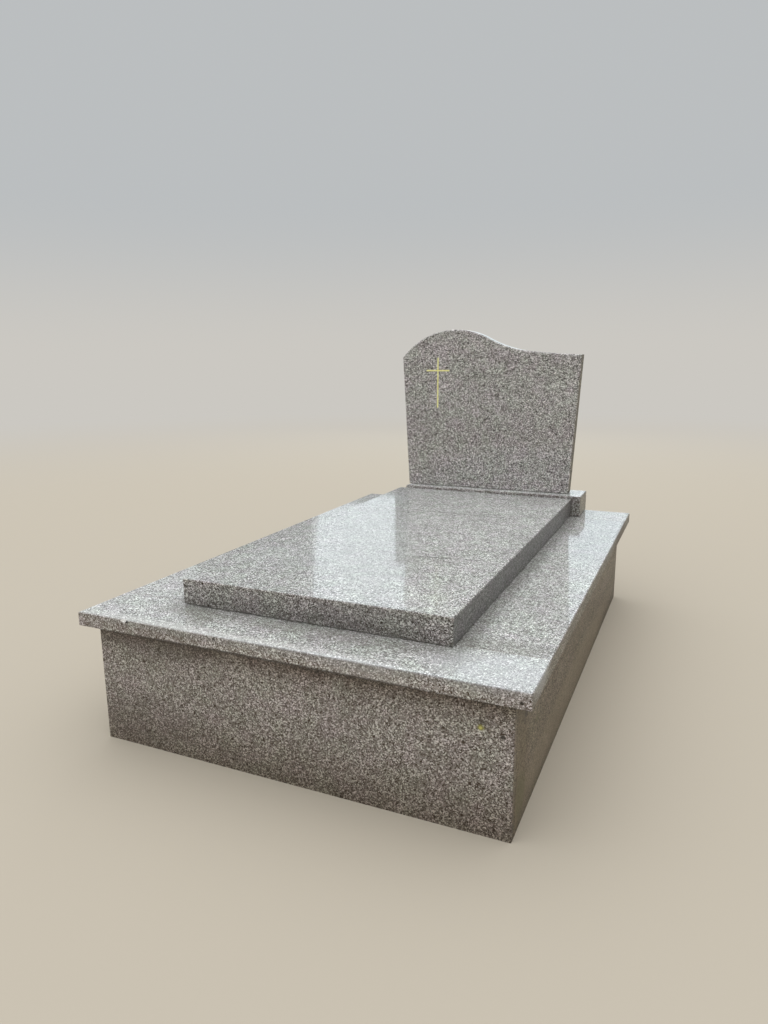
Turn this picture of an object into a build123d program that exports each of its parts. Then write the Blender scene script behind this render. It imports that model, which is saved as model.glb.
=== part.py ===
from build123d import *
import os
from math import cos, radians, tan

# A family grave in polished grey granite, in millimetres. X runs across the grave, Y runs
# from its front to the headstone at the back, and Z up. The origin lies on the ground, in
# the middle of the coping's outline.

# Coping: four butt-jointed slabs that lie round the top like a picture frame, and reach a
# little way under the ledger.
coping_width = 1650
coping_length = 2500
coping_thick = 50
coping_joint = 3
coping_joint_recess = 1
ledger_bearing = 25

# Cladding: thin upright panels that stand on the ground under the coping's overhang.
cladding_height = 446
cladding_thick = 30
side_overhang = 55
end_overhang = 40
corner_joint = 3
corner_joint_recess = 2

# The concrete walls of the vault, behind the cladding and a backing of mortar.
backing_thick = 10
wall_thick = 120

# Mortar beds under each layer of stone, set back from the edges above them.
coping_bed_thick = 4
ledger_bed_thick = 4
base_bed_thick = 4
headstone_bed_thick = 3
bed_recess = 6

# Ledger: the thick slab that closes the grave.
ledger_width = 1050
ledger_thick = 95
ledger_front_margin = 220
ledger_to_base_gap = 2

# Base: the plinth block that carries the headstone, flush with the back of the coping. It
# stands to the right of the middle, so its left end is just inside the headstone's foot and
# its right end leaves a free shoulder.
base_width = 1060
base_offset = 45
base_depth = 210
base_height = 110

# Headstone: sides that lean outwards, a round crest left of the middle, and a long hollow
# sweep from the turn below the crest to the right shoulder. Offsets are from the middle of
# the stone, and drops are from the top of its crest.
headstone_height = 932
headstone_thick = 80
headstone_setback = 65
foot_width = 986
top_width = 1070
crest_offset = -200
turn_offset = 0
turn_drop = 52
hollow_offset = 233
hollow_drop = 126
left_shoulder_drop = 160
right_shoulder_drop = 149

# Cross: a V-cut groove lined with gold leaf, set in from the headstone's left shoulder.
cross_inset = 228
cross_top_drop = 162
cross_height = 295
cross_width = 145
cross_arm_drop = 75
cross_line = 8
groove_floor = 1
groove_slope = 45
leaf_thick = 0.5

# Narrow polished bevels that break the sharp edges.
slab_arris = 3
panel_arris = 2
headstone_arris = 6

# Levels, from the ground up.
coping_underside = cladding_height + coping_bed_thick
coping_top = coping_underside + coping_thick
ledger_underside = coping_top + ledger_bed_thick
base_underside = coping_top + base_bed_thick
base_top = base_underside + base_height
headstone_foot = base_top + headstone_bed_thick

# Outlines in plan, as widths and lengths about the origin.
cladding_width = coping_width - 2 * side_overhang
cladding_length = coping_length - 2 * end_overhang
side_panel_length = cladding_length - 2 * (cladding_thick + corner_joint)
backing_width = cladding_width - 2 * cladding_thick
backing_length = cladding_length - 2 * cladding_thick
wall_ring_width = backing_width - 2 * backing_thick
wall_ring_length = backing_length - 2 * backing_thick
vault_width = wall_ring_width - 2 * wall_thick
vault_length = wall_ring_length - 2 * wall_thick
opening_width = ledger_width - 2 * ledger_bearing
coping_side_width = (coping_width - opening_width) / 2

# Places along Y, from the front of the coping to the back.
base_front = coping_length / 2 - base_depth
base_middle = base_front + base_depth / 2
ledger_front = -coping_length / 2 + ledger_front_margin
ledger_back = base_front - ledger_to_base_gap
ledger_length = ledger_back - ledger_front
ledger_middle = (ledger_front + ledger_back) / 2
opening_length = ledger_length - 2 * ledger_bearing
side_slab_length = opening_length - 2 * coping_joint
headstone_front = base_front + headstone_setback
headstone_middle = headstone_front + headstone_thick / 2

ends = {"front": -1, "back": 1}
sides = {"left": -1, "right": 1}

os.makedirs("parts", exist_ok=True)


def finish(piece, name):
    piece.part.label = name
    export_step(piece.part, f"parts/{name}.step")


# Vault walls, the two long ones between the two ends.
for name, end in ends.items():
    with BuildPart() as end_wall:
        with BuildSketch():
            with Locations((0, end * (wall_ring_length - wall_thick) / 2)):
                Rectangle(wall_ring_width, wall_thick)
        extrude(amount=cladding_height)
    finish(end_wall, f"vault_wall_{name}")

for name, side in sides.items():
    with BuildPart() as long_wall:
        with BuildSketch():
            with Locations((side * (wall_ring_width - wall_thick) / 2, 0)):
                Rectangle(wall_thick, vault_length)
        extrude(amount=cladding_height)
    finish(long_wall, f"vault_wall_{name}")

# Mortar that fixes the cladding to the vault walls.
with BuildPart() as backing:
    with BuildSketch():
        Rectangle(backing_width, backing_length)
        Rectangle(wall_ring_width, wall_ring_length, mode=Mode.SUBTRACT)
    extrude(amount=cladding_height)
finish(backing, "backing_mortar")

# Cladding: the end panels run the full width and hide the edges of the side panels.
for name, end in ends.items():
    with BuildPart() as end_panel:
        with BuildSketch():
            with Locations((0, end * (cladding_length - cladding_thick) / 2)):
                Rectangle(cladding_width, cladding_thick)
        extrude(amount=cladding_height)
        outer_face = end_panel.faces().sort_by(Axis.Y)[0 if end < 0 else -1]
        chamfer(outer_face.edges().filter_by(Axis.Z), panel_arris)
    finish(end_panel, f"cladding_{name}")

for name, side in sides.items():
    with BuildPart() as side_panel:
        with BuildSketch():
            with Locations((side * (cladding_width - cladding_thick) / 2, 0)):
                Rectangle(cladding_thick, side_panel_length)
        extrude(amount=cladding_height)
    finish(side_panel, f"cladding_{name}")

# Pointing in the upright joint at each corner, a little behind the face of the side panel.
for end_name, end in ends.items():
    for side_name, side in sides.items():
        joint_depth = cladding_thick - corner_joint_recess
        joint_x = side * (cladding_width / 2 - corner_joint_recess - joint_depth / 2)
        joint_y = end * (side_panel_length + corner_joint) / 2
        with BuildPart() as corner_pointing:
            with BuildSketch():
                with Locations((joint_x, joint_y)):
                    Rectangle(joint_depth, corner_joint)
            extrude(amount=cladding_height)
        finish(corner_pointing, f"corner_joint_{end_name}_{side_name}")

# Bed of mortar on top of the cladding and the vault walls.
with BuildPart() as coping_bed:
    with BuildSketch(Plane.XY.offset(cladding_height)):
        Rectangle(cladding_width - 2 * bed_recess, cladding_length - 2 * bed_recess)
        Rectangle(vault_width, vault_length, mode=Mode.SUBTRACT)
    extrude(amount=coping_bed_thick)
finish(coping_bed, "coping_bed")

# Coping: the end slabs run the full width, and the side slabs butt against them.
for name, end in ends.items():
    outer_edge_y = end * coping_length / 2
    inner_edge_y = ledger_middle + end * opening_length / 2
    with BuildPart() as end_slab:
        with BuildSketch(Plane.XY.offset(coping_underside)):
            with Locations((0, (outer_edge_y + inner_edge_y) / 2)):
                Rectangle(coping_width, abs(outer_edge_y - inner_edge_y))
        extrude(amount=coping_thick)
        top_edges = end_slab.faces().sort_by(Axis.Z)[-1].edges()
        outer_edge = top_edges.filter_by(Axis.X).sort_by(Axis.Y)[0 if end < 0 else -1]
        chamfer([outer_edge, *top_edges.filter_by(Axis.Y)], slab_arris)
    finish(end_slab, f"coping_{name}")

for name, side in sides.items():
    with BuildPart() as side_slab:
        with BuildSketch(Plane.XY.offset(coping_underside)):
            with Locations((side * (coping_width - coping_side_width) / 2, ledger_middle)):
                Rectangle(coping_side_width, side_slab_length)
        extrude(amount=coping_thick)
        top_edges = side_slab.faces().sort_by(Axis.Z)[-1].edges()
        outer_edge = top_edges.filter_by(Axis.Y).sort_by(Axis.X)[0 if side < 0 else -1]
        chamfer(outer_edge, slab_arris)
    finish(side_slab, f"coping_{name}")

# Pointing between the slabs of the coping, a hair below the polished faces.
for end_name, end in ends.items():
    for side_name, side in sides.items():
        pointing_width = coping_side_width - coping_joint_recess - slab_arris
        pointing_x = side * (coping_width / 2 - coping_side_width + pointing_width / 2)
        pointing_y = ledger_middle + end * (side_slab_length + coping_joint) / 2
        with BuildPart() as coping_pointing:
            with BuildSketch(Plane.XY.offset(coping_underside)):
                with Locations((pointing_x, pointing_y)):
                    Rectangle(pointing_width, coping_joint)
            extrude(amount=coping_thick - coping_joint_recess)
        finish(coping_pointing, f"coping_joint_{end_name}_{side_name}")

# Ledger on its bed, which only lies where the coping reaches under the slab.
with BuildPart() as ledger_bed:
    with BuildSketch(Plane.XY.offset(coping_top)):
        with Locations((0, ledger_middle)):
            Rectangle(ledger_width - 2 * bed_recess, ledger_length - 2 * bed_recess)
            Rectangle(opening_width, opening_length, mode=Mode.SUBTRACT)
    extrude(amount=ledger_bed_thick)
finish(ledger_bed, "ledger_bed")

with BuildPart() as ledger:
    with BuildSketch(Plane.XY.offset(ledger_underside)):
        with Locations((0, ledger_middle)):
            Rectangle(ledger_width, ledger_length)
    extrude(amount=ledger_thick)
    chamfer(ledger.faces().sort_by(Axis.Z)[-1].edges(), slab_arris)
finish(ledger, "ledger_slab")

# Base of the headstone.
with BuildPart() as base_bed:
    with BuildSketch(Plane.XY.offset(coping_top)):
        with Locations((base_offset, base_middle)):
            Rectangle(base_width - 2 * bed_recess, base_depth - 2 * bed_recess)
    extrude(amount=base_bed_thick)
finish(base_bed, "base_bed")

with BuildPart() as base:
    with BuildSketch(Plane.XY.offset(base_underside)):
        with Locations((base_offset, base_middle)):
            Rectangle(base_width, base_depth)
    extrude(amount=base_height)
    chamfer(base.faces().sort_by(Axis.Z)[-1].edges(), slab_arris)
finish(base, "headstone_base")

# Bed of the headstone, only where the base reaches under its foot.
with BuildPart() as headstone_bed:
    with BuildSketch(Plane.XY.offset(base_top)):
        with Locations((0, headstone_middle)):
            Rectangle(foot_width - 2 * bed_recess, headstone_thick - 2 * bed_recess)
        with Locations((base_offset, base_middle)):
            Rectangle(
                base_width - 2 * bed_recess, base_depth - 2 * bed_recess, mode=Mode.INTERSECT
            )
    extrude(amount=headstone_bed_thick)
finish(headstone_bed, "headstone_bed")

# Headstone, drawn on its front face and cut through the slab.

front_plane = Plane((0, headstone_front, headstone_foot), x_dir=(1, 0, 0), z_dir=(0, -1, 0))

left_shoulder = (-top_width / 2, headstone_height - left_shoulder_drop)
crest_top = (crest_offset, headstone_height)
turn = (turn_offset, headstone_height - turn_drop)
hollow_foot = (hollow_offset, headstone_height - hollow_drop)
right_shoulder = (top_width / 2, headstone_height - right_shoulder_drop)
cross_middle = -top_width / 2 + cross_inset
cross_top = headstone_height - cross_top_drop

with BuildSketch(front_plane) as cross_outline:
    with Locations((cross_middle, cross_top - cross_height / 2)):
        Rectangle(cross_line, cross_height)
    with Locations((cross_middle, cross_top - cross_arm_drop)):
        Rectangle(cross_width, cross_line)

groove_depth = (cross_line - groove_floor) / 2 / tan(radians(groove_slope))
leaf_inset = leaf_thick / cos(radians(groove_slope))

with BuildPart() as headstone:
    with BuildSketch(front_plane):
        with BuildLine():
            left_side = Line((-foot_width / 2, 0), left_shoulder)
            crest = ThreePointArc(left_shoulder, crest_top, turn)
            hollow = TangentArc(turn, hollow_foot, tangent=crest % 1)
            sweep_out = TangentArc(hollow_foot, right_shoulder, tangent=hollow % 1)
            Polyline(right_shoulder, (foot_width / 2, 0), left_side @ 0)
        make_face()
    extrude(amount=-headstone_thick)
    faces_along_y = headstone.faces().filter_by(Axis.Y)
    bevelled = faces_along_y.edges() - faces_along_y.edges().group_by(Axis.Z)[0]
    chamfer(bevelled, headstone_arris)
    extrude(cross_outline.sketch, -groove_depth, taper=groove_slope, mode=Mode.SUBTRACT)
finish(headstone, "headstone")

# Gold leaf on the walls and floor of the groove.
with BuildPart() as leaf:
    extrude(cross_outline.sketch, -groove_depth, taper=groove_slope)
    bare_outline = offset(
        cross_outline.sketch, -leaf_inset, kind=Kind.INTERSECTION, mode=Mode.PRIVATE
    )
    extrude(bare_outline, leaf_thick - groove_depth, taper=groove_slope, mode=Mode.SUBTRACT)
finish(leaf, "cross_gold_leaf")
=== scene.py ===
from math import radians

import bmesh
import bpy
from mathutils import Matrix, Vector, noise


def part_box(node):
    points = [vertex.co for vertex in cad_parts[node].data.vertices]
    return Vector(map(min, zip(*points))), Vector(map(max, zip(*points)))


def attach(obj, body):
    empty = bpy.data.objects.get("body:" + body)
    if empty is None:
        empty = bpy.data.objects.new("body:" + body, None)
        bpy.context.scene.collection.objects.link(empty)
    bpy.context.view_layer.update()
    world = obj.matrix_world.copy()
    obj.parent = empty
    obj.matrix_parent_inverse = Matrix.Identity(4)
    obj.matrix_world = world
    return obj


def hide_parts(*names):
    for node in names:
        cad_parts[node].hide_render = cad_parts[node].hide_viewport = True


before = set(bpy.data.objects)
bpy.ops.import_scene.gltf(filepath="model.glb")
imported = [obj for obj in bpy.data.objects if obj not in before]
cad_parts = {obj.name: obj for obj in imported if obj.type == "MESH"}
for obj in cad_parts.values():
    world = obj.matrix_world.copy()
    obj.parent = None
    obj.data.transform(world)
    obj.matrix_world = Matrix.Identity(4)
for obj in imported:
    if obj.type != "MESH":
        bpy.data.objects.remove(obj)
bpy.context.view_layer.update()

bl_info = {
    "name": "Granite Grave with Headstone",
    "version": (1, 0, 0),
    "blender": (4, 5, 0),
    "location": "3D View > Sidebar > Granite Grave",
    "description": "Finishes a polished granite grave with its headstone, and sets it in a pale studio",
    "category": "Object",
}


def linear(hex_colour):
    """The linear RGB of an sRGB hex colour."""
    channels = (int(hex_colour[i:i + 2], 16) / 255 for i in (1, 3, 5))
    return tuple(c / 12.92 if c <= 0.04045 else ((c + 0.055) / 1.055) ** 2.4 for c in channels)


def add_node(tree, kind, inputs=None, stops=None, **settings):
    """Adds a node with its settings, its values or links by socket, and the stops of a ramp."""
    node = tree.nodes.new(kind)
    for name, value in settings.items():
        setattr(node, name, value)
    for socket, value in (inputs or {}).items():
        if isinstance(value, bpy.types.NodeSocket):
            tree.links.new(value, node.inputs[socket])
        else:
            node.inputs[socket].default_value = value
    if stops:
        elements = node.color_ramp.elements
        while len(elements) < len(stops):
            elements.new(1)
        for element, (position, colour) in zip(elements, stops):
            element.position = position
            element.color = (*colour, 1)
    return node


def empty_material(name):
    """A new material, and its node tree with nothing in it yet."""
    material = bpy.data.materials.new(name)
    material.use_nodes = True
    material.node_tree.nodes.clear()
    return material, material.node_tree


# Sizes and colours


class StoneFinish(bpy.types.PropertyGroup):
    """The minerals and the polish of the grey granite"""

    feldspar: bpy.props.FloatVectorProperty(
        name="Feldspar", description="Colour of the commonest grain, a dull grey feldspar",
        subtype="COLOR", size=3, default=linear("#848382"), min=0, max=1)
    white_feldspar: bpy.props.FloatVectorProperty(
        name="White feldspar", description="Colour of the brightest grains",
        subtype="COLOR", size=3, default=linear("#C7C6C4"), min=0, max=1)
    rose_feldspar: bpy.props.FloatVectorProperty(
        name="Rose feldspar", description="Colour of the few warm mauve grains",
        subtype="COLOR", size=3, default=linear("#898280"), min=0, max=1)
    quartz: bpy.props.FloatVectorProperty(
        name="Quartz", description="Colour of the glassy grey grains",
        subtype="COLOR", size=3, default=linear("#5D5B59"), min=0, max=1)
    mica: bpy.props.FloatVectorProperty(
        name="Black mica", description="Colour of the black flakes",
        subtype="COLOR", size=3, default=linear("#1F1D1B"), min=0, max=1)
    # Painted light: the faces that look up are painted this much lighter, for the light that falls on them
    # from above.
    top_light_gain: bpy.props.FloatProperty(
        name="Bleach", description="How much lighter the faces are that look up, which the sun has bleached",
        default=1.65, min=1, max=3)
    grain: bpy.props.FloatProperty(
        name="Grain", description="Size across a feldspar grain",
        subtype="DISTANCE", unit="LENGTH", default=0.0037, min=0.002, max=0.03)
    flake: bpy.props.FloatProperty(
        name="Mica flake", description="Size across a black flake",
        subtype="DISTANCE", unit="LENGTH", default=0.0032, min=0.001, max=0.02)
    clot: bpy.props.FloatProperty(
        name="Mica clot", description="Size across one of the scattered dark clots",
        subtype="DISTANCE", unit="LENGTH", default=0.009, min=0.002, max=0.03)
    polish: bpy.props.FloatProperty(
        name="Polish", description="Roughness of the clean polished face",
        subtype="FACTOR", default=0.05, min=0, max=1)


class WearSettings(bpy.types.PropertyGroup):
    """Dirt, damage and painted shadow"""

    # Painted shadow with stain: how strongly the panels are darkened under the coping's overhang and towards
    # the ground.
    soil_and_shadow: bpy.props.FloatProperty(
        name="Soil", description="How far the panels are stained near the ground and under the coping",
        subtype="FACTOR", default=1.0, min=0, max=1)
    chip: bpy.props.FloatProperty(
        name="Chip", description="Length of the chip in the front coping's top edge",
        subtype="DISTANCE", unit="LENGTH", default=0.029, min=0.005, max=0.06)
    nick: bpy.props.FloatProperty(
        name="Nick", description="Length of the small nicks in the front edges of the coping and the ledger",
        subtype="DISTANCE", unit="LENGTH", default=0.011, min=0.003, max=0.03)


class StudioSettings(bpy.types.PropertyGroup):
    """The pale floor, the soft light and the camera"""

    floor_colour: bpy.props.FloatVectorProperty(
        name="Floor", description="Colour of the floor round the grave",
        subtype="COLOR", size=3, default=linear("#B8AF9F"), min=0, max=1)
    floor_radius: bpy.props.FloatProperty(
        name="Floor radius", description="Distance to the rim of the floor",
        subtype="DISTANCE", unit="LENGTH", default=60.0, min=10)
    horizon: bpy.props.FloatVectorProperty(
        name="Horizon", description="Colour of the backdrop at eye level",
        subtype="COLOR", size=3, default=linear("#CBC8C2"), min=0, max=1)
    haze: bpy.props.FloatVectorProperty(
        name="Low light", description="Colour of the soft light from just above eye level",
        subtype="COLOR", size=3, default=linear("#F6FAFC"), min=0, max=1)
    backdrop: bpy.props.FloatProperty(
        name="Backdrop", description="How much of the low light comes from behind the grave",
        subtype="FACTOR", default=0.54, min=0, max=1)
    zenith: bpy.props.FloatVectorProperty(
        name="Overhead light", description="Colour of the light from straight above",
        subtype="COLOR", size=3, default=linear("#FBFCFF"), min=0, max=1)
    zenith_strength: bpy.props.FloatProperty(
        name="Overhead strength", description="Strength of the light from straight above",
        default=1.95, min=0, max=10)
    softbox_place: bpy.props.FloatVectorProperty(
        name="Softbox", description="Centre of the large softbox behind the grave, which the slabs mirror",
        subtype="TRANSLATION", unit="LENGTH", size=3, default=(-2.76, 9.6, 4.1))
    softbox_width: bpy.props.FloatProperty(
        name="Softbox width", description="Width of the softbox",
        subtype="DISTANCE", unit="LENGTH", default=6.0, min=0.1)
    softbox_height: bpy.props.FloatProperty(
        name="Softbox height", description="Height of the softbox",
        subtype="DISTANCE", unit="LENGTH", default=4.4, min=0.1)
    softbox_colour: bpy.props.FloatVectorProperty(
        name="Softbox colour", description="Colour of the softbox's light",
        subtype="COLOR", size=3, default=linear("#E3F3FA"), min=0, max=1)
    softbox_power: bpy.props.FloatProperty(
        name="Softbox power", description="Power of the softbox behind the grave",
        subtype="POWER", unit="POWER", default=59.0, min=0)
    flag_width: bpy.props.FloatProperty(
        name="Flag", description="Width of the dark flag beside the softbox, which the ledger mirrors",
        subtype="DISTANCE", unit="LENGTH", default=2.2, min=0.1)
    camera_place: bpy.props.FloatVectorProperty(
        name="Camera", description="Where the camera stands, at the right of the grave's foot",
        subtype="TRANSLATION", unit="LENGTH", size=3, default=(1.19665, -3.0488, 1.3904))
    camera_heading: bpy.props.FloatProperty(
        name="Heading", description="Turn of the camera from looking along the grave",
        subtype="ANGLE", default=-0.4221)
    camera_tilt: bpy.props.FloatProperty(
        name="Tilt", description="Angle of the camera above the horizon",
        subtype="ANGLE", default=-0.2112)
    camera_roll: bpy.props.FloatProperty(
        name="Roll", description="Turn of the camera about its own line of sight",
        subtype="ANGLE", default=-0.0072)
    camera_lens: bpy.props.FloatProperty(
        name="Lens", description="Focal length for a sensor 36 mm on its long side",
        default=25.313, min=5, max=300)


# Materials

# The darkest, middle and lightest grains of a broken face
FRESH_BREAK = ("#B8B5AF", "#DAD8D3", "#F2F0EC")
DEEP_BREAK = ("#100E0B", "#1E1A16", "#2C2822")
GRIMED_BREAK = ("#2E2A25", "#57534B", "#86827A")

# What lies on the polished faces, and the painted shade and shadow on them
SOIL_DUST = "#856648"
DRY_DUST = "#C4C2BC"
# Dirt, and painted shade in the angles where one piece stands on another
SETTLED_DIRT_AND_SHADE = "#5F5A50"
# Dirt, and painted shadow under the coping's overhang and along its lower edge
SHELTERED_DIRT_AND_SHADOW = "#2A211B"
DAMP_DIRT = "#2F2C26"
DULL_DIRT = "#4A453C"
BLEACHED = "#C9CCCC"
FINE_LINE = "#35332E"

# Tint of the painted light on the faces that look up
TOP_LIGHT_TINT = "#FBFFFD"
GRANITE_IOR = 1.54  # about that of quartz and of feldspar
LEAST_LEFT = 0.999  # of a stone's volume, when its chips are out
SIDES = ("front", "back", "left", "right")


def granite_grains(tree, where):
    """The speckle of a medium-grained grey granite. Gives its colour, where the black mica lies, and the
    noise that makes the grains' borders ragged."""
    stone = bpy.context.scene.grave_stone

    # The place is shaken by a part of a grain, so no border is straight.
    border_noise = add_node(
        tree, "ShaderNodeTexNoise", {"Vector": where, "Scale": 1.6 / stone.grain, "Detail": 2.0})
    ragged = border_noise.outputs["Color"]
    shaken = add_node(
        tree, "ShaderNodeVectorMath", {0: ragged, 1: (stone.grain,) * 3, 2: where},
        operation="MULTIPLY_ADD").outputs[0]
    grains = add_node(tree, "ShaderNodeTexVoronoi", {"Vector": shaken, "Scale": 1 / stone.grain})
    grain_parts = add_node(tree, "ShaderNodeSeparateColor", {"Color": grains.outputs["Color"]})
    mineral = add_node(
        tree, "ShaderNodeValToRGB", {"Fac": grain_parts.outputs["Red"]},
        stops=[(0.0, stone.quartz), (0.24, stone.feldspar), (0.66, stone.white_feldspar),
               (0.95, stone.rose_feldspar)])
    mineral.color_ramp.interpolation = "CONSTANT"
    grain_shade = add_node(
        tree, "ShaderNodeMapRange", {"Value": grain_parts.outputs["Green"], "To Min": 0.68, "To Max": 1.32})
    speckle = add_node(
        tree, "ShaderNodeVectorMath", {0: mineral.outputs["Color"], "Scale": grain_shade.outputs["Result"]},
        operation="SCALE").outputs[0]

    # Cleavage and small inclusions inside a grain, about 1 mm.
    fine = add_node(tree, "ShaderNodeTexNoise", {"Vector": where, "Scale": 900.0, "Detail": 2.0})
    fine_shade = add_node(
        tree, "ShaderNodeMapRange",
        {"Value": fine.outputs["Fac"], "From Min": 0.3, "From Max": 0.7, "To Min": 0.82, "To Max": 1.18})
    speckle = add_node(
        tree, "ShaderNodeVectorMath", {0: speckle, "Scale": fine_shade.outputs["Result"]},
        operation="SCALE").outputs[0]

    # Black mica lies in loose clusters a few grains wide, with a larger dark clot every 60 mm or so.
    flakes = add_node(tree, "ShaderNodeTexVoronoi", {"Vector": shaken, "Scale": 1 / stone.flake})
    flake_parts = add_node(tree, "ShaderNodeSeparateColor", {"Color": flakes.outputs["Color"]})
    clusters = add_node(
        tree, "ShaderNodeTexNoise", {"Vector": where, "Scale": 0.22 / stone.grain, "Detail": 2.0})
    leaning = add_node(
        tree, "ShaderNodeMath", {0: clusters.outputs["Fac"], 1: 0.7, 2: flake_parts.outputs["Red"]},
        operation="MULTIPLY_ADD")
    mica = add_node(
        tree, "ShaderNodeMath", {0: leaning.outputs[0], 1: 1.16}, operation="GREATER_THAN").outputs[0]
    clots = add_node(tree, "ShaderNodeTexVoronoi", {"Vector": shaken, "Scale": 0.16 / stone.clot})
    clot = add_node(tree, "ShaderNodeMath", {0: clots.outputs["Distance"], 1: 0.09}, operation="LESS_THAN")
    mica = add_node(tree, "ShaderNodeMath", {0: mica, 1: clot.outputs[0]}, operation="MAXIMUM").outputs[0]
    speckle = add_node(
        tree, "ShaderNodeMix", {0: mica, 6: speckle, 7: (*stone.mica, 1)}, data_type="RGBA").outputs[2]

    # The shade changes slowly across a slab, from 300 mm down to a few grains.
    clouds = add_node(
        tree, "ShaderNodeTexNoise", {"Vector": where, "Scale": 3.5, "Detail": 5.0, "Roughness": 0.7})
    cloud_shade = add_node(
        tree, "ShaderNodeMapRange",
        {"Value": clouds.outputs["Fac"], "From Min": 0.3, "From Max": 0.7, "To Min": 0.88, "To Max": 1.12})
    speckle = add_node(
        tree, "ShaderNodeVectorMath", {0: speckle, "Scale": cloud_shade.outputs["Result"]},
        operation="SCALE").outputs[0]

    # The feldspar drifts between mauve and a greenish grey, 80 mm at a time.
    drift = add_node(
        tree, "ShaderNodeTexNoise", {"Vector": where, "Scale": 13.0, "Detail": 4.0, "Roughness": 0.6})
    hue = add_node(
        tree, "ShaderNodeValToRGB", {"Fac": drift.outputs["Fac"]},
        stops=[(0.35, (0.967, 1.013, 0.96)), (0.65, (1.038, 0.987, 1.033))])
    speckle = add_node(
        tree, "ShaderNodeVectorMath", {0: speckle, 1: hue.outputs["Color"]}, operation="MULTIPLY").outputs[0]
    return speckle, mica, ragged


def painted_light_and_weather(tree, where, upward, speckle, upright_tone_and_shade, top_painted_light, blotches, dust):
    """The grains under painted light and weather: painted lighter, blotched and under dry dust where a face
    looks up, and under the brown dust of splashed soil where it stands."""
    # Painted light: faces that look up take the lighter painted tone, upright faces the piece's own tone,
    # which is also painted for the light it gets.
    shade = add_node(
        tree, "ShaderNodeMix", {0: upward, 6: upright_tone_and_shade, 7: top_painted_light}, data_type="RGBA")
    speckle = add_node(
        tree, "ShaderNodeVectorMath", {0: speckle, 1: shade.outputs[2]}, operation="MULTIPLY").outputs[0]

    # Blotches of 55 mm, left where water dried.
    blotch = add_node(
        tree, "ShaderNodeTexNoise", {"Vector": where, "Scale": 18.0, "Detail": 3.0, "Roughness": 0.6})
    blotch_shade = add_node(
        tree, "ShaderNodeMapRange",
        {"Value": blotch.outputs["Fac"], "From Min": 0.3, "From Max": 0.7,
         "To Min": 1 - blotches, "To Max": 1 + blotches})
    blotched = add_node(
        tree, "ShaderNodeVectorMath", {0: speckle, "Scale": blotch_shade.outputs["Result"]},
        operation="SCALE")
    speckle = add_node(
        tree, "ShaderNodeMix", {0: upward, 6: speckle, 7: blotched.outputs[0]}, data_type="RGBA").outputs[2]

    settled = add_node(tree, "ShaderNodeMapRange", {"Value": upward, "To Min": dust, "To Max": 0.18})
    dust_shade = add_node(
        tree, "ShaderNodeMix", {0: upward, 6: (*linear(SOIL_DUST), 1), 7: (*linear(DRY_DUST), 1)},
        data_type="RGBA")
    return add_node(
        tree, "ShaderNodeMix", {0: settled.outputs["Result"], 6: speckle, 7: dust_shade.outputs[2]},
        data_type="RGBA").outputs[2]


def soil_stain_and_shadow(tree, place, streaks, speckle):
    """A panel's painted shade and stain of damp and splashed soil near the ground, and its painted shadow
    with dirt under the coping's overhang.
    """
    height = add_node(tree, "ShaderNodeSeparateXYZ", {"Vector": place})
    uneven = add_node(
        tree, "ShaderNodeMath", {0: streaks, 1: 0.07, 2: height.outputs["Z"]}, operation="MULTIPLY_ADD")
    level = add_node(
        tree, "ShaderNodeMapRange", {"Value": uneven.outputs[0], "From Min": 0.035, "From Max": 0.481})
    # Painted shadow: the stops near 1 darken the top of the panel under the coping's overhang, and those
    # near 0 darken it towards the ground.
    stain_and_shadow = add_node(
        tree, "ShaderNodeValToRGB", {"Fac": level.outputs["Result"]},
        stops=[(0.0, (0.54, 0.50, 0.43)), (0.12, (0.66, 0.62, 0.57)), (0.24, (0.80, 0.77, 0.73)),
               (0.42, (0.97, 0.96, 0.95)), (0.64, (1.05, 1.05, 1.05)), (0.84, (0.95, 0.94, 0.92)),
               (0.91, (0.74, 0.69, 0.65)), (0.945, (0.57, 0.50, 0.45)), (0.965, (0.36, 0.31, 0.27)),
               (1.0, (0.24, 0.20, 0.17))])
    stained_and_shaded = add_node(
        tree, "ShaderNodeVectorMath", {0: speckle, 1: stain_and_shadow.outputs["Color"]}, operation="MULTIPLY")
    return add_node(
        tree, "ShaderNodeMix", {0: bpy.context.scene.grave_wear.soil_and_shadow, 6: speckle, 7: stained_and_shaded.outputs[0]},
        data_type="RGBA").outputs[2]


def gathered_dirt_and_shade(tree, place, streaks, speckle, half_width, front):
    """Dirt and painted shade in the angle along the foot of the piece on top, whose half width and front are
    given.
    """
    spot = add_node(tree, "ShaderNodeSeparateXYZ", {"Vector": place})
    across = add_node(tree, "ShaderNodeMath", {0: spot.outputs["X"]}, operation="ABSOLUTE")

    # It reaches less far at the long sides than at the front.
    beside = add_node(
        tree, "ShaderNodeMath", {0: across.outputs[0], 1: 1.6, 2: -1.6 * half_width},
        operation="MULTIPLY_ADD")
    before = add_node(tree, "ShaderNodeMath", {0: front, 1: spot.outputs["Y"]}, operation="SUBTRACT")
    away = add_node(
        tree, "ShaderNodeMath", {0: beside.outputs[0], 1: before.outputs[0]}, operation="MAXIMUM").outputs[0]
    away = add_node(
        tree, "ShaderNodeMath", {0: streaks, 1: -0.12, 2: away}, operation="MULTIPLY_ADD").outputs[0]
    gathered_and_shaded = add_node(
        tree, "ShaderNodeMapRange",
        {"Value": away, "From Min": -0.02, "From Max": 0.07, "To Min": 0.4, "To Max": 0.0},
        interpolation_type="SMOOTHSTEP")
    return add_node(
        tree, "ShaderNodeMix", {0: gathered_and_shaded.outputs["Result"], 6: speckle, 7: (*linear(SETTLED_DIRT_AND_SHADE), 1)},
        data_type="RGBA").outputs[2]


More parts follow.
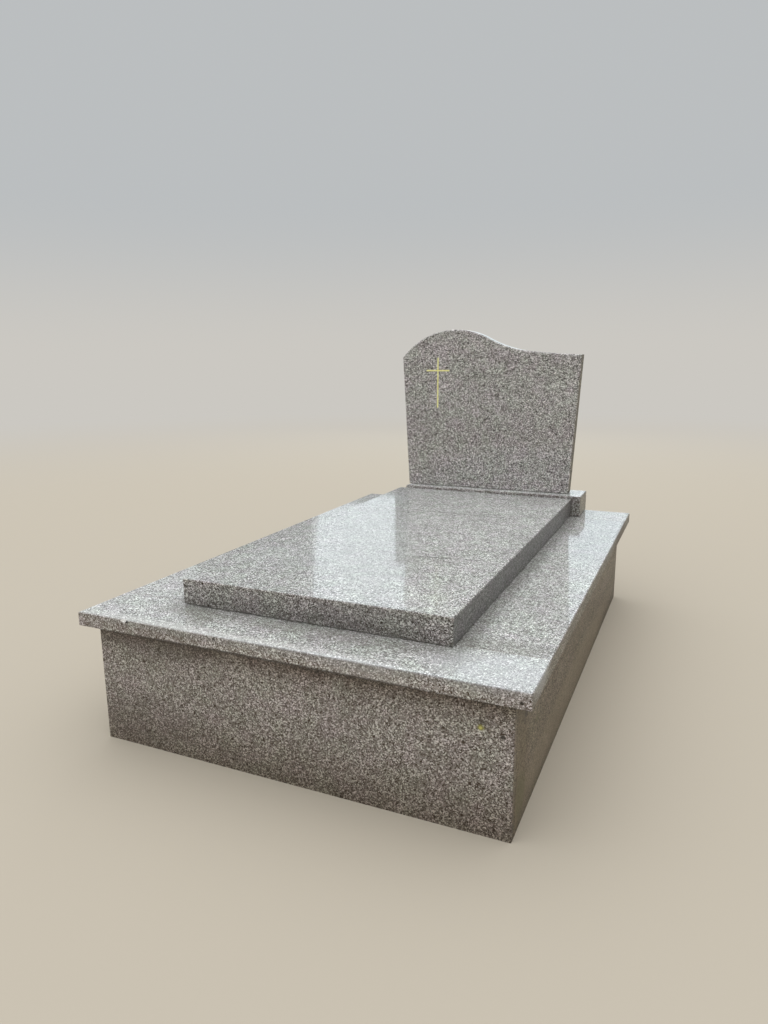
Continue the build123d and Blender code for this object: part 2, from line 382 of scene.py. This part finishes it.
def mark_stone(tree, place, ragged, speckle, marks):
    """Stains, growths, lines, and painted highlights and shades, each an oval patch with a soft and ragged
    edge.
    A mark is its centre, its half sizes, its turn about the upright, its colour and its cover."""
    for centre, sizes, turn, colour, cover in marks:
        # The noise, from 0 to 1, moves the place by half the mark's smallest size, so by a quarter of it
        # on average, and the centre moves with it.
        near = add_node(
            tree, "ShaderNodeVectorMath", {0: ragged, 1: (0.5 * min(sizes),) * 3, 2: place},
            operation="MULTIPLY_ADD").outputs[0]
        centre = tuple(c + 0.25 * min(sizes) for c in centre)
        near = add_node(
            tree, "ShaderNodeMapping",
            {"Vector": near, "Location": centre, "Rotation": (0, 0, turn), "Scale": sizes},
            vector_type="TEXTURE").outputs["Vector"]
        reach = add_node(tree, "ShaderNodeVectorMath", {0: near}, operation="LENGTH")
        patch = add_node(
            tree, "ShaderNodeMapRange",
            {"Value": reach.outputs["Value"], "From Min": 0.55, "From Max": 1.0,
             "To Min": cover, "To Max": 0.0})
        speckle = add_node(
            tree, "ShaderNodeMix", {0: patch.outputs["Result"], 6: speckle, 7: (*linear(colour), 1)},
            data_type="RGBA").outputs[2]
    return speckle


def polished_granite(
        name, tone, film_and_side_shade, dust, shift=(0, 0, 0), tint="#FFFFFF", top_tone=None, film_dulls=0.36,
        blotches=0.05, soiled_and_shaded=False, carries=None, marks=()):
    """Medium-grained grey granite, sawn, ground and polished: a speckle of feldspar, quartz and black
    mica under a face that mirrors what stands beside it. Faces that look up are painted lighter, for the
    light that falls on them from above. The long sides are painted darker and browner for their shade and
    the ground that they mirror, under a film of weather, which dims the grains by its colours and dulls the
    polish.
    The tone and tint are those of upright faces, top_tone is that of faces that look up, and dust is how
    much of an upright face the splashed soil hides; the tones differ from slab to slab and are also painted
    lighter or darker for the light each piece gets. What a slab carries is half the width and the front
    of the piece on it, where dirt and painted shade gather."""
    stone = bpy.context.scene.grave_stone
    material, tree = empty_material(name)
    place = add_node(tree, "ShaderNodeTexCoord").outputs["Object"]
    where = add_node(tree, "ShaderNodeMapping", {"Vector": place, "Location": shift}).outputs["Vector"]
    speckle, mica, ragged = granite_grains(tree, where)

    # A face looks up where it is flatter than an arris, which slopes 45 degrees and counts as upright.
    facing = add_node(
        tree, "ShaderNodeSeparateXYZ", {"Vector": add_node(tree, "ShaderNodeNewGeometry").outputs["Normal"]})
    upward = add_node(
        tree, "ShaderNodeMapRange", {"Value": facing.outputs["Z"], "From Min": 0.72, "From Max": 0.9})
    # Painted light and shade: upright faces take the piece's tone, and faces that look up are painted
    # lighter still.
    upright_tone_and_shade = (*(tone * c for c in linear(tint)), 1)
    top_painted_light = (*((top_tone or tone) * stone.top_light_gain * c for c in linear(TOP_LIGHT_TINT)), 1)
    speckle = painted_light_and_weather(
        tree, where, upward.outputs["Result"], speckle, upright_tone_and_shade, top_painted_light, blotches, dust)

    # On the long sides the painted shade, with the brown of the ground they mirror, and the film of weather
    # are thicker in patches 90 mm tall and 230 mm long.
    sideways = add_node(tree, "ShaderNodeMath", {0: facing.outputs["X"]}, operation="ABSOLUTE")
    side = add_node(
        tree, "ShaderNodeMapRange", {"Value": sideways.outputs[0], "From Min": 0.75, "From Max": 0.95})
    along = add_node(tree, "ShaderNodeMapping", {"Vector": where, "Scale": (0.4, 0.4, 1)})
    patches = add_node(
        tree, "ShaderNodeTexNoise",
        {"Vector": along.outputs["Vector"], "Scale": 11.0, "Detail": 6.0, "Roughness": 0.65})
    film_and_side_shade_colour = add_node(
        tree, "ShaderNodeValToRGB", {"Fac": patches.outputs["Fac"]},
        stops=[(0.35, linear(film_and_side_shade[0])), (0.65, linear(film_and_side_shade[1]))])
    filmed_and_shaded = add_node(
        tree, "ShaderNodeVectorMath", {0: speckle, 1: film_and_side_shade_colour.outputs["Color"]}, operation="MULTIPLY")
    speckle = add_node(
        tree, "ShaderNodeMix", {0: side.outputs["Result"], 6: speckle, 7: filmed_and_shaded.outputs[0]},
        data_type="RGBA").outputs[2]

    # Streaks 60 mm wide and 160 mm tall, where water ran, make the borders of the stains uneven.
    streaked = add_node(tree, "ShaderNodeMapping", {"Vector": where, "Scale": (1, 1, 0.4)})
    streak_noise = add_node(
        tree, "ShaderNodeTexNoise",
        {"Vector": streaked.outputs["Vector"], "Scale": 16.0, "Detail": 6.0, "Roughness": 0.65})
    streaks = streak_noise.outputs["Fac"]
    if soiled_and_shaded:
        speckle = soil_stain_and_shadow(tree, place, streaks, speckle)
    if carries:
        speckle = gathered_dirt_and_shade(tree, place, streaks, speckle, *carries)
    speckle = mark_stone(tree, place, ragged, speckle, marks)

    # Mica takes less polish than feldspar, and the film dulls the face.
    gloss = add_node(
        tree, "ShaderNodeMapRange", {"Value": mica, "To Min": stone.polish, "To Max": stone.polish + 0.12})
    dulled = add_node(
        tree, "ShaderNodeMath", {0: side.outputs["Result"], 1: film_dulls, 2: gloss.outputs["Result"]},
        operation="MULTIPLY_ADD")
    pits = add_node(
        tree, "ShaderNodeBump", {"Strength": 0.05, "Distance": 0.0002, "Height": mica}, invert=True)
    shader = add_node(
        tree, "ShaderNodeBsdfPrincipled",
        {"Base Color": speckle, "Roughness": dulled.outputs[0], "IOR": GRANITE_IOR,
         "Normal": pits.outputs["Normal"]})
    add_node(tree, "ShaderNodeOutputMaterial", {"Surface": shader.outputs["BSDF"]})
    return material


def broken_granite(name, shades):
    """Granite broken at a chip: the same grains, crystalline and rough, fresh or grimed since."""
    material, tree = empty_material(name)
    where = add_node(tree, "ShaderNodeTexCoord").outputs["Object"]
    grains = add_node(
        tree, "ShaderNodeTexVoronoi", {"Vector": where, "Scale": 1 / bpy.context.scene.grave_stone.grain})
    parts = add_node(tree, "ShaderNodeSeparateColor", {"Color": grains.outputs["Color"]})
    colours = add_node(
        tree, "ShaderNodeValToRGB", {"Fac": parts.outputs["Red"]},
        stops=[(0.5 * i, linear(shade)) for i, shade in enumerate(shades)])
    facets = add_node(
        tree, "ShaderNodeBump", {"Strength": 0.7, "Distance": 0.001, "Height": grains.outputs["Distance"]})
    shader = add_node(
        tree, "ShaderNodeBsdfPrincipled",
        {"Base Color": colours.outputs["Color"], "Roughness": 0.85, "IOR": GRANITE_IOR,
         "Normal": facets.outputs["Normal"]})
    add_node(tree, "ShaderNodeOutputMaterial", {"Surface": shader.outputs["BSDF"]})
    return material


def plain_mortar(name, colour, dark, grit=0.0012):
    """Mortar of sand and cement, or concrete where the grit is coarse: dull, with a sandy bump and slow
    patches of damp 110 mm across."""
    material, tree = empty_material(name)
    where = add_node(tree, "ShaderNodeTexCoord").outputs["Object"]
    sand = add_node(tree, "ShaderNodeTexNoise", {"Vector": where, "Scale": 1 / grit, "Detail": 2.0})
    damp = add_node(tree, "ShaderNodeTexNoise", {"Vector": where, "Scale": 9.0, "Detail": 4.0})
    shade = add_node(
        tree, "ShaderNodeMath", {0: sand.outputs["Fac"], 1: 0.35, 2: damp.outputs["Fac"]},
        operation="MULTIPLY_ADD")
    colours = add_node(
        tree, "ShaderNodeValToRGB", {"Fac": shade.outputs[0]},
        stops=[(0.45, linear(dark)), (0.85, linear(colour))])
    bump = add_node(
        tree, "ShaderNodeBump", {"Strength": 0.5, "Distance": 0.0006, "Height": sand.outputs["Fac"]})
    shader = add_node(
        tree, "ShaderNodeBsdfPrincipled",
        {"Base Color": colours.outputs["Color"], "Roughness": 0.92, "IOR": 1.5,
         "Normal": bump.outputs["Normal"]})
    add_node(tree, "ShaderNodeOutputMaterial", {"Surface": shader.outputs["BSDF"]})
    return material


def gold_leaf():
    """Gold leaf laid on size in the cut: pale and soft, its metal broken up every 8 mm or so by the
    rough stone below."""
    material, tree = empty_material("Gold leaf in the groove")
    where = add_node(tree, "ShaderNodeTexCoord").outputs["Object"]
    uneven = add_node(tree, "ShaderNodeTexNoise", {"Vector": where, "Scale": 120.0, "Detail": 3.0})
    colours = add_node(
        tree, "ShaderNodeValToRGB", {"Fac": uneven.outputs["Fac"]},
        stops=[(0.35, linear("#E4DF8C")), (0.65, linear("#F1EDB4"))])
    gloss = add_node(
        tree, "ShaderNodeMapRange", {"Value": uneven.outputs["Fac"], "To Min": 0.42, "To Max": 0.6})
    shader = add_node(
        tree, "ShaderNodeBsdfPrincipled",
        {"Base Color": colours.outputs["Color"], "Metallic": 0.35, "Roughness": gloss.outputs["Result"]})
    add_node(tree, "ShaderNodeOutputMaterial", {"Surface": shader.outputs["BSDF"]})
    return material


def finish_node(name, material):
    """Gives a piece of the frame its finish."""
    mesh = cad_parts[name].data
    mesh.materials.clear()
    mesh.materials.append(material)


def chip_stone(name, material, cuts):
    """Puts a copy of a stone of the frame, with its chips broken out, in the stone's place. A cut is the
    centre and the half sizes of a chip, and the shades of its broken face."""
    shape = bmesh.new()
    shape.from_mesh(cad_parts[name].data)
    bmesh.ops.remove_doubles(shape, verts=shape.verts, dist=1e-6)
    whole = shape.calc_volume()
    stone = bpy.data.objects.new(f"{name}_chipped", bpy.data.meshes.new(f"{name}_chipped"))
    shape.to_mesh(stone.data)
    shape.free()
    stone.data.materials.append(material)
    bpy.context.scene.collection.objects.link(stone)

    for number, (centre, sizes, shades) in enumerate(cuts):
        # The cutter is a pebble whose surface swells and is rough, so the break is uneven.
        shape = bmesh.new()
        bmesh.ops.create_icosphere(shape, subdivisions=4, radius=1.0)
        for vert in shape.verts:
            swell = noise.noise(vert.co * 2.1 + Vector(centre) * 40) * 0.35
            rough = noise.noise(vert.co * 6.0) * 0.12
            vert.co = Vector(centre) + vert.co * (1 + swell + rough) * Vector(sizes)
        cutter = bpy.data.objects.new("chip_cutter", bpy.data.meshes.new("chip_cutter"))
        shape.to_mesh(cutter.data)
        shape.free()
        cutter.data.materials.append(broken_granite(f"Broken granite, {name} chip {number + 1}", shades))
        bpy.context.scene.collection.objects.link(cutter)
        cut = stone.modifiers.new("Chip", "BOOLEAN")
        cut.operation, cut.solver, cut.object, cut.material_mode = "DIFFERENCE", "EXACT", cutter, "TRANSFER"
        chipped = bpy.data.meshes.new_from_object(stone.evaluated_get(bpy.context.evaluated_depsgraph_get()))
        stone.modifiers.remove(cut)
        bpy.data.meshes.remove(cutter.data)
        uncut, stone.data = stone.data, chipped
        bpy.data.meshes.remove(uncut)

    shape = bmesh.new()
    shape.from_mesh(stone.data)
    left = shape.calc_volume()
    shape.free()
    if not LEAST_LEFT * whole < left < whole:
        raise RuntimeError(f"The chips of {name} left {left:.6f} of {whole:.6f} cubic metres")
    stone.data.name = stone.name
    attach(stone, "root")
    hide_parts(name)


# Operators


class GRAVE_OT_headstone(bpy.types.Operator):
    """Polishes the headstone"""

    bl_idname = "granite_grave.headstone"
    bl_label = "Headstone"

    def execute(self, context):
        # Its tone, top_tone and side film are partly painted light and shade.
        finish_node(
            "headstone",
            polished_granite(
                "Polished grey granite, headstone", tone=1.26, film_and_side_shade=("#AEAA9B", "#C4BFA8"), dust=0.05,
                tint="#FFFDFB", top_tone=0.75, film_dulls=0.55))
        return {"FINISHED"}


class GRAVE_OT_cross(bpy.types.Operator):
    """Gilds the cut cross"""

    bl_idname = "granite_grave.cross"
    bl_label = "Gilded cross"

    def execute(self, context):
        finish_node("cross_gold_leaf", gold_leaf())
        return {"FINISHED"}


class GRAVE_OT_base(bpy.types.Operator):
    """Polishes the base under the headstone"""

    bl_idname = "granite_grave.base"
    bl_label = "Base"

    def execute(self, context):
        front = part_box("headstone_base")[0].y
        # Its tone, top_tone and side film are partly painted light and shade.
        finish_node(
            "headstone_base",
            polished_granite(
                "Polished grey granite, base", tone=0.95, film_and_side_shade=("#F4F1E2", "#FFFCEC"), dust=0.15,
                shift=(3.1, 0, 0), top_tone=1.25,
                marks=(
                    # Damp on the front face, under the free shoulder
                    ((0.53, front, 0.6), (0.035, 0.02, 0.08), 0.0, "#3A3731", 0.3),)))
        return {"FINISHED"}


class GRAVE_OT_ledger(bpy.types.Operator):
    """Polishes the ledger that closes the grave, and nicks its front edge"""

    bl_idname = "granite_grave.ledger"
    bl_label = "Ledger"

    def execute(self, context):
        low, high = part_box("ledger_slab")
        top, front = high.z, low.y
        marks = (
            # A pale band along the top, painted highlight where it mirrors the bright light, and the pale
            # and dirty patches on it; the dirt at the back is partly painted shade by the headstone's base
            ((-0.1, -0.25, top), (0.24, 1.0, 0.03), 0.386, "#ADADAA", 0.3),
            ((0.40, 0.96, top), (0.24, 0.24, 0.03), 0.0, SETTLED_DIRT_AND_SHADE, 0.12),
            ((-0.46, 0.64, top), (0.16, 0.22, 0.03), 0.0, BLEACHED, 0.25),
            ((0.24, -0.43, top), (0.15, 0.13, 0.03), 0.0, SETTLED_DIRT_AND_SHADE, 0.13),
            ((-0.30, -0.60, top), (0.26, 0.24, 0.03), 0.0, BLEACHED, 0.12),
            # The front face: damp along its foot and right of the middle, and dull at its top right
            ((0.0, front, 0.502), (0.75, 0.02, 0.065), 0.0, DAMP_DIRT, 0.3),
            ((0.33, front, 0.592), (0.22, 0.02, 0.035), 0.0, "#4A4740", 0.2),
            ((0.19, front, 0.54), (0.28, 0.02, 0.08), 0.0, DAMP_DIRT, 0.11),
            # The two fine dark lines across the top, each with a darker stretch
            ((0.0425, 0.424, top), (0.44, 0.0065, 0.012), -0.034, FINE_LINE, 0.5),
            ((0.085, 0.4226, top), (0.24, 0.006, 0.012), -0.034, FINE_LINE, 0.5),
            ((0.3335, -0.3895, top), (0.28, 0.006, 0.012), 0.156, FINE_LINE, 0.45),
            ((0.235, -0.405, top), (0.1, 0.0055, 0.012), 0.156, FINE_LINE, 0.5),
            # Two specks
            ((-0.180, -0.468, top), (0.005, 0.004, 0.004), 0.0, "#2B2823", 0.9),
            ((-0.004, -0.857, top), (0.004, 0.003, 0.003), 0.0, "#4B4741", 0.8))
        # Its tone, top_tone and side film are partly painted light and shade.
        material = polished_granite(
            "Polished grey granite, ledger", tone=0.98, film_and_side_shade=("#BBBDBF", "#C8C9C9"), dust=0.08,
            shift=(0, 5.3, 0), tint="#FFFDFA", top_tone=1.01, film_dulls=0.33, blotches=0.14, marks=marks)
        half_nick = context.scene.grave_wear.nick / 2
        chip_stone(
            "ledger_slab", material,
            [((-0.132, -1.0308, 0.5993), (half_nick, 0.004, 0.0045), GRIMED_BREAK)])
        return {"FINISHED"}


class GRAVE_OT_coping(bpy.types.Operator):
    """Polishes the four slabs of the coping, and chips the front one"""

    bl_idname = "granite_grave.coping"
    bl_label = "Coping"

    def execute(self, context):
        wear = context.scene.grave_wear
        low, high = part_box("coping_front")
        top, front, right = high.z, low.y, high.x
        ledger_low, ledger_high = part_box("ledger_slab")
        marks = {
            "front": (
                # The top: a painted highlight at the right corner, dirt with the painted dark reflection of
                # the ledger's front before it, and paler along the front edge
                ((0.70, -1.13, top), (0.28, 0.15, 0.06), 0.0, "#C1C3C3", 0.4),
                ((0.12, -1.125, top), (0.36, 0.09, 0.03), 0.0, SETTLED_DIRT_AND_SHADE, 0.2),
                ((-0.3, -1.235, 0.5045), (1.1, 0.055, 0.0085), 0.0, "#E2E0DA", 0.33),
                # The edge: painted shade along the top arris, dull at both ends, paler between, and dirt
                # with painted shadow along its foot
                ((0.30, front, 0.4985), (0.76, 0.008, 0.0045), 0.0, "#3A352E", 0.42),
                ((-0.65, front, 0.475), (0.36, 0.02, 0.05), 0.0, DULL_DIRT, 0.15),
                ((0.78, front, 0.475), (0.16, 0.02, 0.05), 0.0, DULL_DIRT, 0.12),
                ((0.31, front, 0.475), (0.17, 0.02, 0.05), 0.0, "#CFCDC8", 0.13),
                ((0.0, front, 0.489), (0.95, 0.02, 0.017), 0.0, "#868C8C", 0.16),
                ((0.0, front, 0.4485), (0.86, 0.02, 0.0105), 0.0, SHELTERED_DIRT_AND_SHADOW, 0.85),
                # Two spots of dirt with painted shade on the top before the ledger, and two specks in the
                # edge
                ((-0.36, -1.15, top), (0.06, 0.05, 0.03), 0.0, SETTLED_DIRT_AND_SHADE, 0.34),
                ((-0.43, -1.09, top), (0.13, 0.05, 0.03), 0.0, SETTLED_DIRT_AND_SHADE, 0.24),
                ((0.796, front, 0.468), (0.008, 0.004, 0.006), 0.0, "#25211C", 0.9),
                ((-0.229, front, 0.490), (0.007, 0.004, 0.006), 0.0, "#2E2A25", 0.85)),
            "right": (
                # Dirt by the ledger's corner, a painted bluish highlight along the top where it mirrors the
                # sky, and brown dirt on the edge
                ((0.68, -0.97, top), (0.18, 0.09, 0.03), 0.0, "#6F6B63", 0.3),
                ((0.745, 0.72, top), (0.14, 0.85, 0.05), 0.0, "#A9B0B8", 0.17),
                ((right, 1.05, 0.47), (0.02, 0.75, 0.06), 0.0, "#4A3825", 0.6)),
        }
        for number, side in enumerate(SIDES):
            # Their tone, top_tone and side film are partly painted light and shade.
            material = polished_granite(
                f"Polished grey granite, {side} coping", tone=1.18, film_and_side_shade=("#C3C3B6", "#D4D3C7"), dust=0.2,
                shift=(7.7 * number, 0, 9.0), tint="#FFFFFE", top_tone=1.0, film_dulls=0.45,
                blotches=0.15 if side == "front" else 0.04, carries=(ledger_high.x, ledger_low.y),
                marks=marks.get(side, ()))
            if side == "front":
                # The chip in the top arris, the dark pit beside it and the nick in the lower arris
                chip_stone(
                    "coping_front", material,
                    [((-0.6125, -1.2515, 0.5012), (wear.chip / 2, 0.0085, 0.0105), FRESH_BREAK),
                     ((-0.5985, -1.2508, 0.4955), (0.0045, 0.006, 0.005), DEEP_BREAK),
                     ((-0.236, -1.2505, 0.4508), (wear.nick / 2, 0.004, 0.0055), GRIMED_BREAK)])
            else:
                finish_node(f"coping_{side}", material)
        return {"FINISHED"}


class GRAVE_OT_cladding(bpy.types.Operator):
    """Polishes the upright panels"""

    bl_idname = "granite_grave.cladding"
    bl_label = "Cladding"

    def execute(self, context):
        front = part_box("cladding_front")[0].y
        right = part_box("cladding_right")[1].x
        marks = {
            "front": (
                # At the left: dark dirt with painted shadow under the coping, and darker by the ground
                ((-0.50, front, 0.43), (0.36, 0.02, 0.09), 0.0, SHELTERED_DIRT_AND_SHADOW, 0.3),
                ((-0.52, front, 0.444), (0.36, 0.02, 0.024), 0.0, SHELTERED_DIRT_AND_SHADOW, 0.75),
                ((-0.60, front, 0.12), (0.34, 0.02, 0.12), 0.0, SHELTERED_DIRT_AND_SHADOW, 0.22),
                # The lichen near the right corner, with the dirt that it holds, and a speck beside it
                ((0.671, front, 0.367), (0.024, 0.01, 0.010), 0.0, "#3A342A", 0.6),
                ((0.671, front, 0.349), (0.013, 0.01, 0.012), 0.0, "#7F7B3C", 0.9),
                ((0.670, front, 0.348), (0.006, 0.005, 0.006), 0.0, "#BDB866", 0.9),
                ((0.737, front, 0.332), (0.009, 0.005, 0.008), 0.0, "#221E19", 0.9)),
            "right": (
                # Splashed soil along the foot, and brown stains down the front end
                ((right, -0.2, 0.085), (0.03, 1.5, 0.10), 0.0, "#8A7D66", 0.42),
                ((right, -1.0, 0.38), (0.03, 0.26, 0.09), 0.0, "#2E2717", 0.22),
                ((right, -1.17, 0.22), (0.03, 0.18, 0.28), 0.0, "#5C4B22", 0.27),
                # Two dark spots, and two green ones of algae
                ((right, -1.070, 0.346), (0.01, 0.024, 0.013), 0.0, "#20180F", 0.9),
                ((right, -1.080, 0.326), (0.01, 0.018, 0.007), 0.0, "#2E2418", 0.8),
                ((right, -1.115, 0.105), (0.03, 0.075, 0.085), 0.0, "#4B4A26", 0.5),
                ((right, -0.907, 0.254), (0.02, 0.030, 0.016), 0.0, "#5A5636", 0.6)),
        }
        for number, side in enumerate(SIDES):
            # The panels' low tone and their side film are partly painted shade, and the stain paints their
            # shadow under the coping.
            finish_node(
                f"cladding_{side}",
                polished_granite(
                    f"Polished grey granite, {side} panel", tone=0.92, film_and_side_shade=("#B6AB90", "#D1C6B2"),
                    dust=0.13, shift=(7.7 * number, 0, 19.0), tint="#FFFCF9", film_dulls=0.42, soiled_and_shaded=True,
                    marks=marks.get(side, ())))
        return {"FINISHED"}


class GRAVE_OT_vault(bpy.types.Operator):
    """Finishes the concrete walls and the mortar behind the cladding"""

    bl_idname = "granite_grave.vault"
    bl_label = "Vault and mortar"

    def execute(self, context):
        concrete = plain_mortar("Cast concrete, vault walls", "#B3AFA6", "#8A867D", grit=0.004)
        for side in SIDES:
            finish_node(f"vault_wall_{side}", concrete)
        bedding = plain_mortar("Bedding mortar", "#8E897F", "#5E5A52")
        for name in ("backing_mortar", "coping_bed", "ledger_bed", "base_bed", "headstone_bed"):
            finish_node(name, bedding)
        pointing = plain_mortar("Light joint pointing", "#F6F4EE", "#DDD9CF")
        grimed = plain_mortar("Grimed joint pointing", "#A8A192", "#857D6E")
        for end in ("front", "back"):
            for side in ("left", "right"):
                finish_node(f"corner_joint_{end}_{side}", grimed)
                finish_node(f"coping_joint_{end}_{side}", pointing)
        return {"FINISHED"}


class GRAVE_OT_studio(bpy.types.Operator):
    """Lays the pale floor, hangs the soft light and stands the camera"""

    bl_idname = "granite_grave.studio"
    bl_label = "Studio"

    def execute(self, context):
        studio = context.scene.grave_studio
        self.lay_floor(studio)
        self.light_sky(studio)
        self.hang_softbox(studio)
        self.stand_flag(studio)
        self.stand_camera(studio)
        return {"FINISHED"}

    def lay_floor(self, studio):
        mesh = bpy.data.meshes.new("studio_floor")
        shape = bmesh.new()
        bmesh.ops.create_circle(shape, cap_ends=True, segments=128, radius=studio.floor_radius)
        shape.to_mesh(mesh)
        shape.free()
        floor = bpy.data.objects.new("studio_floor", mesh)
        bpy.context.scene.collection.objects.link(floor)
        # Painted board: next to no gloss, and far from the grave it fades into the backdrop.
        material, tree = empty_material("Pale matt floor")
        where = add_node(tree, "ShaderNodeTexCoord").outputs["Object"]
        away = add_node(tree, "ShaderNodeVectorMath", {0: where}, operation="LENGTH")
        fade = add_node(
            tree, "ShaderNodeMapRange", {"Value": away.outputs["Value"], "From Min": 4.0, "From Max": 16.0},
            interpolation_type="SMOOTHSTEP")
        matt = add_node(
            tree, "ShaderNodeBsdfPrincipled",
            {"Base Color": (*studio.floor_colour, 1), "Roughness": 0.95, "Specular IOR Level": 0.1})
        far = add_node(tree, "ShaderNodeEmission", {"Color": (*studio.horizon, 1)})
        both = add_node(
            tree, "ShaderNodeMixShader",
            {0: fade.outputs["Result"], 1: matt.outputs["BSDF"], 2: far.outputs["Emission"]})
        add_node(tree, "ShaderNodeOutputMaterial", {"Surface": both.outputs["Shader"]})
        mesh.materials.append(material)

    def light_sky(self, studio):
        world = bpy.data.worlds.new("Soft studio light")
        bpy.context.scene.world = world
        world.use_nodes = True
        tree = world.node_tree
        tree.nodes.clear()
        where = add_node(tree, "ShaderNodeTexCoord").outputs["Generated"]
        aim = add_node(tree, "ShaderNodeSeparateXYZ", {"Vector": where})

        # The low light falls away to the grave's right and behind it.
        right = add_node(
            tree, "ShaderNodeMapRange",
            {"Value": aim.outputs["X"], "From Min": 0.2, "From Max": 0.9, "To Min": 1.0, "To Max": 0.6},
            interpolation_type="SMOOTHSTEP")
        behind = add_node(
            tree, "ShaderNodeMapRange",
            {"Value": aim.outputs["Y"], "From Min": -0.2, "From Max": 0.6,
             "To Min": 1.0, "To Max": studio.backdrop},
            interpolation_type="SMOOTHSTEP")
        level = add_node(
            tree, "ShaderNodeMath", {0: right.outputs["Result"], 1: behind.outputs["Result"]},
            operation="MULTIPLY")
        low = add_node(
            tree, "ShaderNodeVectorMath", {0: studio.haze, "Scale": level.outputs[0]}, operation="SCALE")

        # It gives way to the overhead light above, and below to the backdrop's colour at eye level.
        overhead = (*(c * studio.zenith_strength for c in studio.zenith), 1)
        high = add_node(
            tree, "ShaderNodeMapRange", {"Value": aim.outputs["Z"], "From Min": 0.4, "From Max": 1.0})
        upper = add_node(
            tree, "ShaderNodeMix", {0: high.outputs["Result"], 6: low.outputs[0], 7: overhead},
            data_type="RGBA")
        rise = add_node(
            tree, "ShaderNodeMapRange", {"Value": aim.outputs["Z"], "From Min": 0.0, "From Max": 0.2},
            interpolation_type="SMOOTHSTEP")
        colour = add_node(
            tree, "ShaderNodeMix", {0: rise.outputs["Result"], 6: (*studio.horizon, 1), 7: upper.outputs[2]},
            data_type="RGBA")
        light = add_node(tree, "ShaderNodeBackground", {"Color": colour.outputs[2], "Strength": 1.0})
        add_node(tree, "ShaderNodeOutputWorld", {"Surface": light.outputs["Background"]})
        bpy.context.scene.view_settings.view_transform = "Standard"

    def hang_softbox(self, studio):
        lamp = bpy.data.lights.new("softbox", "AREA")
        lamp.shape = "RECTANGLE"
        lamp.size = studio.softbox_width
        lamp.size_y = studio.softbox_height
        lamp.color = studio.softbox_colour
        lamp.energy = studio.softbox_power
        softbox = bpy.data.objects.new("softbox", lamp)
        softbox.location = studio.softbox_place
        # It faces the ground in the middle of the grave.
        softbox.rotation_euler = (-softbox.location).to_track_quat("-Z", "Y").to_euler()
        softbox.visible_camera = False
        bpy.context.scene.collection.objects.link(softbox)

    def stand_flag(self, studio):
        mesh = bpy.data.meshes.new("studio_flag")
        shape = bmesh.new()
        # Sheets of cloth: the foot of the right edge, the width, the height and the turn. The widest stands
        # at the softbox's left.
        sheets = (
            ((-5.64, 8.77, 2.08), studio.flag_width, 2.5, 35),
            ((-3.9, 8.8, 0.8), 1.74, 1.48, 0),
            ((-3.3, 8.8, 0.8), 0.6, 2.75, 0))
        for foot, width, height, turn in sheets:
            upright = Matrix.Rotation(radians(turn), 4, "Z") @ Matrix.Rotation(radians(90), 4, "X")
            place = (
                Matrix.Translation(foot) @ upright @ Matrix.Diagonal((width, height, 1, 1))
                @ Matrix.Translation((-0.5, 0.5, 0)))
            bmesh.ops.create_grid(shape, x_segments=1, y_segments=1, size=0.5, matrix=place)
        shape.to_mesh(mesh)
        shape.free()
        flag = bpy.data.objects.new("studio_flag", mesh)
        flag.visible_camera = flag.visible_diffuse = flag.visible_shadow = False
        bpy.context.scene.collection.objects.link(flag)
        # Worn black cloth, which the stone mirrors as a soft dark grey.
        material, tree = empty_material("Black cloth")
        cloth = add_node(
            tree, "ShaderNodeBsdfPrincipled", {"Base Color": (*linear("#4E4E4C"), 1), "Roughness": 1.0})
        add_node(tree, "ShaderNodeOutputMaterial", {"Surface": cloth.outputs["BSDF"]})
        mesh.materials.append(material)

    def stand_camera(self, studio):
        lens = bpy.data.cameras.new("camera")
        lens.sensor_fit = "AUTO"
        lens.sensor_width = 36
        lens.lens = studio.camera_lens
        lens.clip_end = 500  # past the far rim of the floor
        camera = bpy.data.objects.new("camera", lens)
        bpy.context.scene.collection.objects.link(camera)
        heading = Matrix.Rotation(-studio.camera_heading, 4, "Z")
        tilt = Matrix.Rotation(radians(90) + studio.camera_tilt, 4, "X")
        roll = Matrix.Rotation(studio.camera_roll, 4, "Z")
        camera.matrix_world = Matrix.Translation(studio.camera_place) @ heading @ tilt @ roll
        bpy.context.scene.camera = camera


class GRAVE_PT_sidebar(bpy.types.Panel):
    """Lists the grave's pieces and their sizes"""

    bl_idname = "GRAVE_PT_sidebar"
    bl_label = "Granite Grave"
    bl_space_type = "VIEW_3D"
    bl_region_type = "UI"
    bl_category = "Granite Grave"

    def draw(self, context):
        for piece in PIECES:
            self.layout.operator(piece.bl_idname)
        for settings in (context.scene.grave_stone, context.scene.grave_wear, context.scene.grave_studio):
            box = self.layout.box()
            for name in settings.__annotations__:
                box.prop(settings, name)


PIECES = (
    GRAVE_OT_headstone, GRAVE_OT_cross, GRAVE_OT_base, GRAVE_OT_ledger, GRAVE_OT_coping, GRAVE_OT_cladding,
    GRAVE_OT_vault, GRAVE_OT_studio)
CLASSES = (StoneFinish, WearSettings, StudioSettings, *PIECES, GRAVE_PT_sidebar)


def register():
    for item in CLASSES:
        bpy.utils.register_class(item)
    bpy.types.Scene.grave_stone = bpy.props.PointerProperty(type=StoneFinish)
    bpy.types.Scene.grave_wear = bpy.props.PointerProperty(type=WearSettings)
    bpy.types.Scene.grave_studio = bpy.props.PointerProperty(type=StudioSettings)


def unregister():
    del bpy.types.Scene.grave_studio
    del bpy.types.Scene.grave_wear
    del bpy.types.Scene.grave_stone
    for item in reversed(CLASSES):
        bpy.utils.unregister_class(item)


def main():
    register()
    for piece in PIECES:
        group, name = piece.bl_idname.split(".")
        getattr(getattr(bpy.ops, group), name)()


if __name__ == "__main__":
    main()
